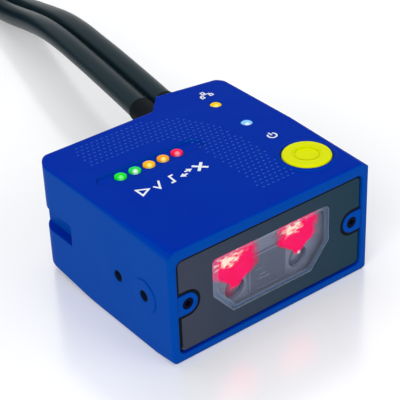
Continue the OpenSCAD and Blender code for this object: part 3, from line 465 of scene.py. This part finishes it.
# Moulded nylon: a warm off-white.
ivory, tree, shader = start_material("ivory_moulded_nylon", "#DCD3BC", 0.45)
grain(tree, shader, size_mm=0.3, depth_mm=0.01, strength=0.4)
give(ivory, "board_connector", "lead_connector", "switch_plunger")

# Polyimide film: shiny amber.
amber_film, tree, shader = start_material("amber_polyimide_film", "#C07A26", 0.25)
grain(tree, shader, size_mm=1.0, depth_mm=0.01, strength=0.3)
give(amber_film, "board_flex")


# %% [markdown]
# ## Printed signs
# The signs beside the lights are printed in white ink, about half a millimetre wide. They could be text or a
# picture on the paint. Here each one is a list of strokes, and a stroke becomes a flat ribbon with mitred
# corners, so that the whole print is one thin mesh that stays sharp from close by. Where strokes cross, each
# lies a film thickness above the last. Two plain symbols stand for the network and the power light.

# %% Flat shapes
longest_mitre = 2.5


def strip(count, closed):
    pairs = count if closed else count - 1
    return [(i, (i + 1) % count, count + (i + 1) % count, count + i) for i in range(pairs)]


def ribbon(points, width, closed=False):
    points = [Vector(p) for p in points]
    count = len(points)
    left, right = [], []
    for i, point in enumerate(points):
        before = points[i - 1] if closed or i > 0 else None
        after = points[(i + 1) % count] if closed or i < count - 1 else None
        into = (point - before).normalized() if before is not None else (after - point).normalized()
        out = (after - point).normalized() if after is not None else into
        bisector = (into + out).normalized()
        side = Vector((-bisector.y, bisector.x))
        reach = width / 2 / max(side.dot(Vector((-into.y, into.x))), 1 / longest_mitre)
        left.append(point + side * reach)
        right.append(point - side * reach)
    return right + left, strip(count, closed)


def panel(points):
    return points, [tuple(range(len(points)))]


def rectangle(x0, y0, x1, y1):
    return [(x0, y0), (x1, y0), (x1, y1), (x0, y1)]


def arc(middle, radius, start, end, steps=16):
    angles = [math.radians(start + (end - start) * i / steps) for i in range(steps + 1)]
    return [(middle[0] + radius * math.cos(a), middle[1] + radius * math.sin(a)) for a in angles]


def circle(middle, radius, sides):
    return arc(middle, radius, 0, 360 - 360 / sides, sides - 1)


def moved(points, middle):
    return [(p[0] + middle[0], p[1] + middle[1]) for p in points]


print("a closed ribbon on a square has", len(ribbon(rectangle(0, 0, 1, 1), 0.1, closed=True)[1]), "faces")

# %% Flat shapes to meshes
film = 0.002


def on_top(height):
    return lambda p, rise: (p[0], p[1], height + rise)


def on_front(y):
    return lambda p, rise: (p[0], y - rise, p[1])


def as_given(p, rise):
    return p


def join(shapes, lift, step=film):
    vertices, faces = [], []
    for layer, (points, polygons) in enumerate(shapes):
        faces += [tuple(len(vertices) + i for i in polygon) for polygon in polygons]
        vertices += [lift(p, layer * step) for p in points]
    return vertices, faces


def add_mesh(name, vertices, faces, made, slot):
    data = bpy.data.meshes.new(name)
    data.from_pydata([Vector(v) * MM for v in vertices], [], faces)
    data.update()
    piece = bpy.data.objects.new(name, data)
    bpy.context.scene.collection.objects.link(piece)
    piece.data.materials.append(made)
    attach(piece, "reader")
    print(name, len(faces), "faces")
    return piece


print("film between crossing strokes:", film, "mm")

# %% Signs by the row of lights
# Screen print: flat, opaque and a little chalky, so it reads white without a shine.
ink, tree, shader = start_material("white_screen_print_ink", "#EDF3F8", 0.5, Specular_IOR_Level=0.2)
grain(tree, shader, size_mm=0.25, depth_mm=0.006, strength=0.4)

top_z = 25.5
sign_y = -4.75
stroke, cross_stroke = 0.44, 0.64
play = [(-0.9, -1.2), (1.3, 0.0), (-0.9, 1.2)]
tick = [(-1.0, 0.1), (-0.3, -1.25), (1.0, 1.25)]
pulse = [(-1.0, -1.15), (-0.1, -1.15), (0.1, 1.15), (1.0, 1.15)]
arrow_head = [(-1.0, 0.0), (0.1, -0.76), (0.1, 0.76)]
arrow_shaft = [(0.1, 0.0), (0.85, 0.0)]
arrow_shift = (-0.8, -0.45)
cross_half = 1.2

lights = [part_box(f"status_light_{i}") for i in range(1, 6)]
sign_at = [((low.x + high.x) / 2 / MM, sign_y) for low, high in lights]
signs = [ribbon(moved(play, sign_at[0]), stroke, closed=True), ribbon(moved(tick, sign_at[1]), stroke),
         ribbon(moved(pulse, sign_at[2]), stroke)]
for way in (1, -1):
    spot = (sign_at[3][0] + way * arrow_shift[0], sign_at[3][1] + way * arrow_shift[1])
    head, shaft = ([(way * x, y) for x, y in shape] for shape in (arrow_head, arrow_shaft))
    signs += [(moved(head, spot), [(0, 1, 2)[::way]]), ribbon(moved(shaft, spot), stroke)]
for way in (1, -1):
    leg = [(-cross_half, -way * cross_half), (cross_half, way * cross_half)]
    signs.append(ribbon(moved(leg, sign_at[4]), cross_stroke))
print("shapes in the row of signs:", len(signs))

# %% Signs for power and network
power_at, network_at = (17.2, -4.8), (17.6, 18.2)
power_radius, power_stroke, power_gap = 0.95, 0.36, 35
power_bar = [(0, 0.1), (0, 1.25)]
box_half, box_stroke = 0.36, 0.3
wire_x, wire_y, wire_stroke = 1.15, 0.35, 0.26
box_y = 0.8
signs += [ribbon(arc(power_at, power_radius, 90 + power_gap, 450 - power_gap), power_stroke),
          ribbon(moved(power_bar, power_at), power_stroke)]
for spot in ((0, box_y), (-wire_x, -box_y), (wire_x, -box_y)):
    box_line = moved(rectangle(-box_half, -box_half, box_half, box_half), spot)
    signs.append(ribbon(moved(box_line, network_at), box_stroke, closed=True))
wires = ([(-wire_x, -wire_y), (-wire_x, 0), (wire_x, 0), (wire_x, -wire_y)], [(0, 0), (0, wire_y)])
signs += [ribbon(moved(wire, network_at), wire_stroke) for wire in wires]
sign_lift = 0.02
add_mesh("printed_signs", *join(signs, on_top(top_z + sign_lift)), ink, "housing_blue")

# %% [markdown]
# ## Printed dash pattern
# A faint pattern of short dashes runs over the top in a bent band. It is print again, in a blue only a little
# lighter than the paint. It could be a pattern in the paint's own material. A mesh keeps each dash crisp, and a
# loop lays it: a staggered grid, of which the dashes near the band's middle line are kept.

# %% Dashes
# Tone-on-tone print: seen as texture first and as single dashes only from close by.
pale_blue, tree, shader = start_material("pale_blue_screen_print_ink", "#2E66C6", 0.5, Specular_IOR_Level=0.2)
grain(tree, shader, size_mm=0.25, depth_mm=0.006, strength=0.4)

dash_pitch, dash_long, dash_wide, dash_lift = 1.25, 0.55, 0.17, 0.012
band_points = [(-15, 13.5), (-2, 13.5), (4.5, 10.5), (7.2, 4.0), (7.4, -5.0), (7.0, -20.0)]
band_line = [Vector(p) for p in band_points]
band_half, band_front = 4.6, -19.5
rows, columns = range(-18, 17), range(-14, 14)


def off_band(point):
    best = math.inf
    for a, b in zip(band_line, band_line[1:]):
        run = b - a
        t = min(max((point - a).dot(run) / run.length_squared, 0), 1)
        best = min(best, (point - a - run * t).length)
    return best


dash = rectangle(-dash_long / 2, -dash_wide / 2, dash_long / 2, dash_wide / 2)
dashes = []
for row in rows:
    for column in columns:
        spot = Vector(((column + 0.5 * (row % 2)) * dash_pitch, row * dash_pitch))
        if off_band(spot) <= band_half and spot.y >= band_front:
            dashes.append(panel(moved(dash, spot)))
add_mesh("printed_dashes", *join(dashes, on_top(top_z + dash_lift), step=0.0), pale_blue, "housing_blue")

# %% [markdown]
# ## Edges of the window
# The pane's ground bevel catches the light as a cool band between two fine pale lines, and the gap round the
# plate lies in shade. True refraction in a bevelled solid would give such lines too, but slowly and with noise.
# Flat strips just before the glass show them cleanly as painted highlights, a black strip in the gap is painted
# shade, and they follow the boxes of the solids.

# %% Outline of the pane
pane_low, pane_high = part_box("window_pane")
pane_seat = 0.7
pane_half = pane_high.x / MM - pane_seat
pane_bottom, pane_top = pane_low.z / MM + pane_seat, pane_high.z / MM - pane_seat
pane_front = pane_low.y / MM
pane_foot, pane_shoulder, pane_round = 10.0, 11.2, 1.0
foot_share, shoulder_share = 0.55, 0.4


def pane_line(inset, drop):
    half, foot = pane_half - inset, pane_foot - inset * foot_share
    bottom, shoulder = pane_bottom + inset, pane_shoulder + inset * shoulder_share
    right = arc((half - pane_round, pane_top - drop - pane_round), pane_round, 0, 90, 5)
    left = [(-x, z) for x, z in reversed(right)]
    return [(-foot, bottom), (foot, bottom), (half, shoulder), *right, *left, (-half, shoulder)]


print("pane opening:", round(2 * pane_half, 2), "x", round(pane_top - pane_bottom, 2), "mm")

# %% Pane edges
# Bevelled glass edge: a painted highlight, pale and half clear, so it shows as a line and not as a frame.
bevel, tree, shader = start_material("bevelled_glass_edge", "#98A3B8", 0.15, Alpha=0.45,
                                     Specular_IOR_Level=0.1)
grain(tree, shader, size_mm=0.6, depth_mm=0.004, strength=0.3)
line_lift = 0.01
rim_width, shelf_width = 0.24, 0.14
shelf_inset, shelf_drop = 1.15, 0.5
lines = [ribbon(pane_line(rim_width / 2, rim_width / 2), rim_width, closed=True),
         ribbon(pane_line(shelf_inset, shelf_drop), shelf_width, closed=True)]
add_mesh("pane_edge_lines", *join(lines, on_front(pane_front - line_lift)), bevel, "pane_clear")

# Ground bevel: a cool veil of painted light between the two lines.
ground, tree, shader = start_material("ground_glass_bevel", "#6E90BC", 0.35, Alpha=0.28,
                                      Specular_IOR_Level=0.1)
grain(tree, shader, size_mm=0.3, depth_mm=0.004, strength=0.3)
outer = pane_line(rim_width, rim_width)
inner = pane_line(shelf_inset - shelf_width / 2, shelf_drop - shelf_width / 2)
veil = (outer + inner, strip(len(outer), closed=True))
add_mesh("pane_bevel", *join([veil], on_front(pane_front - line_lift)), ground, "pane_clear")

# %% Painted shade in the gap round the window plate
# A black strip on the rubber material is painted shade in the gap above and beside the plate and round the
# lugs.
plate_low, plate_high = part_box("window_plate")
screw_low, screw_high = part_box("front_screws")
shade_out, shade_round, shade_rise = 0.3, 1.2, 0.9
shade_width, lower_shade_width, lower_shift = 0.5, 0.85, 0.2
lug_way = 2.65
shade_x, shade_top = plate_high.x / MM + shade_out, plate_high.z / MM + shade_out
shade_foot = plate_low.z / MM + shade_rise
lug_x = (screw_high.x - (screw_high.z - screw_low.z) / 2) / MM
lug_z = (screw_low.z + screw_high.z) / 2 / MM

corner = arc((-shade_x + shade_round, shade_top - shade_round), shade_round, 180, 90, 6)
round_left = arc((-lug_x, lug_z), lug_way, -90, 90, 14)
round_right = [(-x, z) for x, z in round_left]
long_gap_shade = [(-shade_x, shade_foot), (-shade_x, lug_z - lug_way), *round_left, (-shade_x, lug_z + lug_way), *corner,
            (shade_x - shade_round, shade_top)]
short_gap_shade = [(shade_x, lug_z - lug_way), *round_right, (shade_x, lug_z + lug_way)]
lower_gap_shade = [(-shade_x + lower_shift, shade_foot), (-shade_x + lower_shift, lug_z - lug_way)]
gap_shades = [ribbon(long_gap_shade, shade_width), ribbon(short_gap_shade, shade_width), ribbon(lower_gap_shade, lower_shade_width)]
add_mesh("window_seal_lip", *join(gap_shades, on_front(pane_front)), rubber, "seal_rubber")

# %% [markdown]
# ## Glass and light in the window
# A flat coated glass closes the camera's square opening, and three short pale lines on it are painted
# reflections. Before each strong lamp the red light breaks up into a pool, painted as glow on a flat panel. A
# clear sheet of small lenses could be modelled lens by lens. One flat panel whose alpha follows the painted
# pool of light is lighter, and noise on the pool gives it the same broken edge.

# %% Glass in the camera's opening
# Coated flat glass: it mirrors the pale room evenly and lets the lens behind show only faintly.
flat_glass, tree, shader = start_material("coated_flat_glass", "#626A7F", 0.12, Alpha=0.75,
                                          Specular_IOR_Level=0.1)
grain(tree, shader, size_mm=2.0, depth_mm=0.004, strength=0.3)
moulding_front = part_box("optics_frame")[0].y / MM
glass_off, reflections_off, sheet_off, glint_off = 0.06, 0.08, 0.1, 0.15
opening_half, opening_low, opening_high = 4.5, 6.65, 14.4
opening = rectangle(-opening_half, opening_low, opening_half, opening_high)
add_mesh("camera_glass", *join([panel(opening)], on_front(moulding_front - glass_off)), flat_glass,
         "lens_glass")

# Three short pale lines on the glass are painted reflections.
reflection_width = 0.24
reflection_ends = ((-3.2, -1.5, 11.2), (-2.2, -0.5, 9.7), (-2.8, 0.2, 8.8))
painted_reflections = [ribbon([(x0, z), (x1, z)], reflection_width) for x0, x1, z in reflection_ends]
add_mesh("camera_glass_ribs", *join(painted_reflections, on_front(moulding_front - reflections_off)), bevel, "lens_glass")

# %% Pool of red light
# Painted glow of the red lamps: a soft-edged pool of light that narrows downwards, on a panel that is else
# unseen.
sheet, tree, shader = start_material("painted_pool_of_red_lamp_light", "#300008", 0.3,
                                     Specular_IOR_Level=0.0, Emission_Strength=1.0)
pool_sides = ((10.4, 14.2, -5.1), (9.4, 13.4, 5.5))
pool_limits = ((18.9, 18.2), (9.2, 10.2))
tail_share = 1 / 6
ragged_by, ragged_size = 0.8, 2.0
pool_end, pool_full = 1.64, 1.16
place = add(tree, "ShaderNodeTexCoord")
here = add(tree, "ShaderNodeObjectInfo")
apart = add(tree, "ShaderNodeSeparateXYZ", {"Vector": place.outputs["Object"]})
in_part = add(tree, "ShaderNodeVectorMath", {0: place.outputs["Object"], 1: here.outputs["Location"]},
              operation="ADD")
ragged = add(tree, "ShaderNodeTexNoise", {"Vector": in_part.outputs["Vector"], "Scale": per(ragged_size),
                                          "Detail": 2.0})
reach = []
for foot, shoulder, widest in pool_sides:
    width = add(tree, "ShaderNodeMapRange", {"Value": apart.outputs["Z"], "From Min": foot * MM,
                                             "From Max": shoulder * MM, "To Min": widest * tail_share * MM,
                                             "To Max": widest * MM}, interpolation_type="SMOOTHSTEP")
    reach.append(add(tree, "ShaderNodeMath", {0: apart.outputs["X"], 1: width.outputs["Result"]},
                     operation="DIVIDE"))
edge = add(tree, "ShaderNodeMath", {0: reach[0].outputs["Value"], 1: reach[1].outputs["Value"]},
           operation="MAXIMUM")
edge = add(tree, "ShaderNodeMath", {0: ragged.outputs["Fac"], 1: ragged_by, 2: edge.outputs["Value"]},
           operation="MULTIPLY_ADD")
pool = add(tree, "ShaderNodeMapRange", {"Value": edge.outputs["Value"], "From Min": pool_end,
                                        "From Max": pool_full}, interpolation_type="SMOOTHSTEP")
for dark, bright in pool_limits:
    limit = add(tree, "ShaderNodeMapRange", {"Value": apart.outputs["Z"], "From Min": dark * MM,
                                             "From Max": bright * MM}, interpolation_type="SMOOTHSTEP")
    pool = add(tree, "ShaderNodeMath", {0: pool.outputs[0], 1: limit.outputs["Result"]}, operation="MULTIPLY")
tree.links.new(pool.outputs["Value"], shader.inputs["Alpha"])
print("pool of light:", len(tree.nodes), "nodes")

# %% Hot streak in the pool
# Where the lamp itself shows through, the red breaks into small pale strokes, a painted highlight. They are
# noise, laid in a stretched space whose unit is the half size of the streak, and moved on by the panel's own
# place.
streak_middle = (-1.3 * MM, 0, 16.6 * MM)
streak_half = (3.1 * MM, 1, 1.35 * MM)
streak_turn = (0, math.radians(-5), 0)
broken_by, strokes_per_half = 4.2, 2.2
streak_end, streak_full = 3.3, 2.3
streak_place = add(tree, "ShaderNodeMapping", {"Vector": place.outputs["Object"], "Location": streak_middle,
                                               "Rotation": streak_turn, "Scale": streak_half},
                   vector_type="TEXTURE")
unlike = add(tree, "ShaderNodeVectorMath", {0: here.outputs["Location"], 1: (per(1), 0, 0),
                                            2: streak_place.outputs["Vector"]}, operation="MULTIPLY_ADD")
broken = add(tree, "ShaderNodeTexNoise", {"Vector": unlike.outputs["Vector"], "Scale": strokes_per_half,
                                          "Detail": 3.0})
flat = add(tree, "ShaderNodeVectorMath", {0: streak_place.outputs["Vector"], 1: (1, 0, 1)},
           operation="MULTIPLY")
away = add(tree, "ShaderNodeVectorMath", {0: flat.outputs["Vector"]}, operation="LENGTH")
away = add(tree, "ShaderNodeMath", {0: broken.outputs["Fac"], 1: broken_by, 2: away.outputs["Value"]},
           operation="MULTIPLY_ADD")
streak = add(tree, "ShaderNodeMapRange", {"Value": away.outputs["Value"], "From Min": streak_end,
                                          "From Max": streak_full}, interpolation_type="SMOOTHSTEP")
red = add(tree, "ShaderNodeMix", {"Factor": ragged.outputs["Fac"], "A": linear("#F0004C"),
                                  "B": linear("#FF0C70")}, data_type="RGBA")
colour = add(tree, "ShaderNodeMix", {"Factor": streak.outputs["Result"], "A": red.outputs[2],
                                     "B": linear("#FFEBD6")}, data_type="RGBA")
tree.links.new(colour.outputs[2], shader.inputs["Emission Color"])
print("with its streak:", len(tree.nodes), "nodes")

# %% Glow sheets before the lamps
# The right sheet is a little smaller, and both end at the same height.
sheet_left, sheet_right, sheet_low, sheet_top = -6.0, 6.3, 8.8, 19.0
sheet_shape = rectangle(sheet_left, sheet_low, sheet_right, sheet_top)
for side, middle, share in (("left", -8.6, 1.0), ("right", 7.4, 0.91)):
    glow_sheet = add_mesh(f"lens_sheet_{side}", *join([panel(sheet_shape)], on_front(0)), sheet, "lamp_red")
    glow_sheet.location = Vector((middle, moulding_front - sheet_off, sheet_top * (1 - share))) * MM
    glow_sheet.scale = (share, 1, share)

# Lamp glint: a painted pale point in the right lens, where the small weak lamp on the right shows.
glint_light, tree, shader = start_material("pale_glint_of_a_weak_lamp", "#201018", 0.3,
                                           Emission_Color=linear("#FFC8D6"), Emission_Strength=0.75)
grain(tree, shader, size_mm=0.3, depth_mm=0.01, strength=0.4)
glint_at, glint_radius = (7.9, 10.5), 0.42
glint = panel(circle(glint_at, glint_radius, 8))
add_mesh("lamp_glint", *join([glint], on_front(moulding_front - glint_off)), glint_light, "lamp_red")

# %% [markdown]
# ## Threads and contacts
# The side holes are tapped for small screws. A screw modifier could wind a thread. A loop of points with a
# swinging radius draws the same ridge in a few lines and lays all four at once. The circular plugs get a grey
# insert with dark contact holes on their faces, as flat discs, because nobody looks into them.

# %% Threads
# Bare cut metal in a deep hole, painted nearly black as the shade that fills the hole, with faint rings.
shaded_cut_metal, tree, shader = start_material("shaded_cut_thread_in_cast_aluminium", "#06152E", 0.6,
                                         Specular_IOR_Level=0.05)
grain(tree, shader, size_mm=0.15, depth_mm=0.004, strength=0.4)
thread_root, thread_crest, thread_step = 1.215, 1.04, 0.5
thread_turns, thread_sides = 8, 18
thread_sink = 0.05
hole_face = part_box("housing")[1].x / MM - thread_sink
hole_height, hole_y = 12.0, (-17.0, -8.5)


def thread_shape(side, y):
    points, faces = [], []
    for i in range(thread_turns * thread_sides + 1):
        angle = 2 * math.pi * i / thread_sides
        depth = thread_step * i / thread_sides
        for k, radius in enumerate((thread_root, thread_crest, thread_root)):
            x = side * (hole_face - max(depth - thread_step + k * thread_step / 2, 0.0))
            points.append((x, y + radius * math.cos(angle), hole_height + radius * math.sin(angle)))
    for i in range(thread_turns * thread_sides):
        for k in (0, 1):
            faces.append((3 * i + k, 3 * i + k + 1, 3 * i + k + 4, 3 * i + k + 3))
    return points, faces


threads = [thread_shape(side, y) for side in (-1, 1) for y in hole_y]
add_mesh("side_threads", *join(threads, as_given), shaded_cut_metal, "housing_blue")

# %% Contacts
# Moulded nylon insert: a flat grey that sets the dark sockets off.
insert_nylon, tree, shader = start_material("grey_nylon_contact_insert", "#4A4E54", 0.55)
grain(tree, shader, size_mm=0.3, depth_mm=0.01, strength=0.4)
# Deep socket: no light comes back, so it is plain black.
socket_dark, tree, shader = start_material("shadowed_contact_socket", "#050506", 0.7)
grain(tree, shader, size_mm=0.3, depth_mm=0.01, strength=0.4)
insert_radius, socket_ring, socket_radius = 3.7, 2.3, 0.5
insert_sides, socket_sides, sockets_round = 24, 12, 4
insert_lift, socket_lift = 0.02, 0.04
discs, sockets = [], []
for name in ("power_plug", "network_plug"):
    low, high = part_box(name)
    face = low.y / MM
    middle = ((low.x + high.x) / 2 / MM, (low.z + high.z) / 2 / MM)
    disc = circle(middle, insert_radius, insert_sides)
    discs.append(panel([(x, face - insert_lift, z) for x, z in disc]))
    for spot in [middle] + circle(middle, socket_ring, sockets_round):
        hole = circle(spot, socket_radius, socket_sides)
        sockets.append(panel([(x, face - socket_lift, z) for x, z in hole]))
add_mesh("contact_inserts", *join(discs, as_given), insert_nylon, "black_plastic")
add_mesh("contact_sockets", *join(sockets, as_given), socket_dark, "black_plastic")


# %% [markdown]
# ## Studio
# A sheet of polished white acrylic lies under the reader, with one large soft lamp at the left, a weaker one at
# the right and one overhead. The sheet mirrors a little of what stands on it. More light would take it to
# white, but would bleach the reader too. So a small lift, shown only to the camera and to reflections, whitens
# the open floor, and the shadow stays.

# %% Floor
def shown_rays(tree):
    path = add(tree, "ShaderNodeLightPath")
    shown = path.outputs["Is Camera Ray"]
    for kind in ("Is Glossy Ray", "Is Transmission Ray"):
        shown = add(tree, "ShaderNodeMath", {0: shown, 1: path.outputs[kind]}, operation="MAXIMUM").outputs[0]
    return shown


floor_half, floor_drop = 3.0, 0.2 * MM
floor_data = bpy.data.meshes.new("floor")
floor_corners = rectangle(-floor_half, -floor_half, floor_half, floor_half)
floor_data.from_pydata([(x, y, 0) for x, y in floor_corners], [], [(0, 1, 2, 3)])
floor = bpy.data.objects.new("floor", floor_data)
bpy.context.scene.collection.objects.link(floor)
floor.location.z = -floor_drop

# Polished acrylic: white in itself, with a clear but weak mirror on top.
floor_white, tree, shader = start_material("polished_white_acrylic", "#E2E3E6", 0.2, IOR=2.4,
                                           Emission_Color=linear("#FFFFFF"))
near_floor, far_floor = 30 * MM, 90 * MM
near_lift, far_lift = 0.2, 0.3
surface = add(tree, "ShaderNodeNewGeometry")
from_reader = add(tree, "ShaderNodeVectorMath", {0: surface.outputs["Position"]}, operation="LENGTH")
open_floor = add(tree, "ShaderNodeMapRange", {"Value": from_reader.outputs["Value"], "From Min": near_floor,
                                              "From Max": far_floor, "To Min": near_lift, "To Max": far_lift})
lift = add(tree, "ShaderNodeMath", {0: shown_rays(tree), 1: open_floor.outputs["Result"]},
           operation="MULTIPLY")
tree.links.new(lift.outputs["Value"], shader.inputs["Emission Strength"])
floor.data.materials.append(floor_white)
print("floor", 2 * floor_half, "m wide")

# %% World
world = bpy.data.worlds.new("studio")
world.use_nodes = True
bpy.context.scene.world = world
tree = world.node_tree
background = tree.nodes["Background"]
background.inputs["Color"].default_value = linear("#FFFFFF")
fill_light = 0.25
strength = add(tree, "ShaderNodeMapRange", {"Value": shown_rays(tree), "To Min": fill_light, "To Max": 1.0})
tree.links.new(strength.outputs["Result"], background.inputs["Strength"])
bpy.context.scene.view_settings.view_transform = "Standard"
print("world lights the reader at", fill_light)


# %% Lamps
def soft_lamp(name, place, size, power):
    data = bpy.data.lights.new(name, "AREA")
    data.shape = "SQUARE"
    data.size = size
    data.energy = power
    lamp = bpy.data.objects.new(name, data)
    bpy.context.scene.collection.objects.link(lamp)
    lamp.location = place
    lamp.rotation_euler = (lamp_target - Vector(place)).to_track_quat("-Z", "Y").to_euler()
    print(name, power, "W")


lamp_target = Vector((0, 0, 10)) * MM
soft_lamp("left_softbox", (-0.55, -0.35, 0.5), size=0.5, power=3.9)
soft_lamp("right_softbox", (0.35, -0.6, 0.4), size=0.5, power=1.6)
soft_lamp("overhead_softbox", (0.0, 0.2, 0.8), size=0.6, power=2.2)
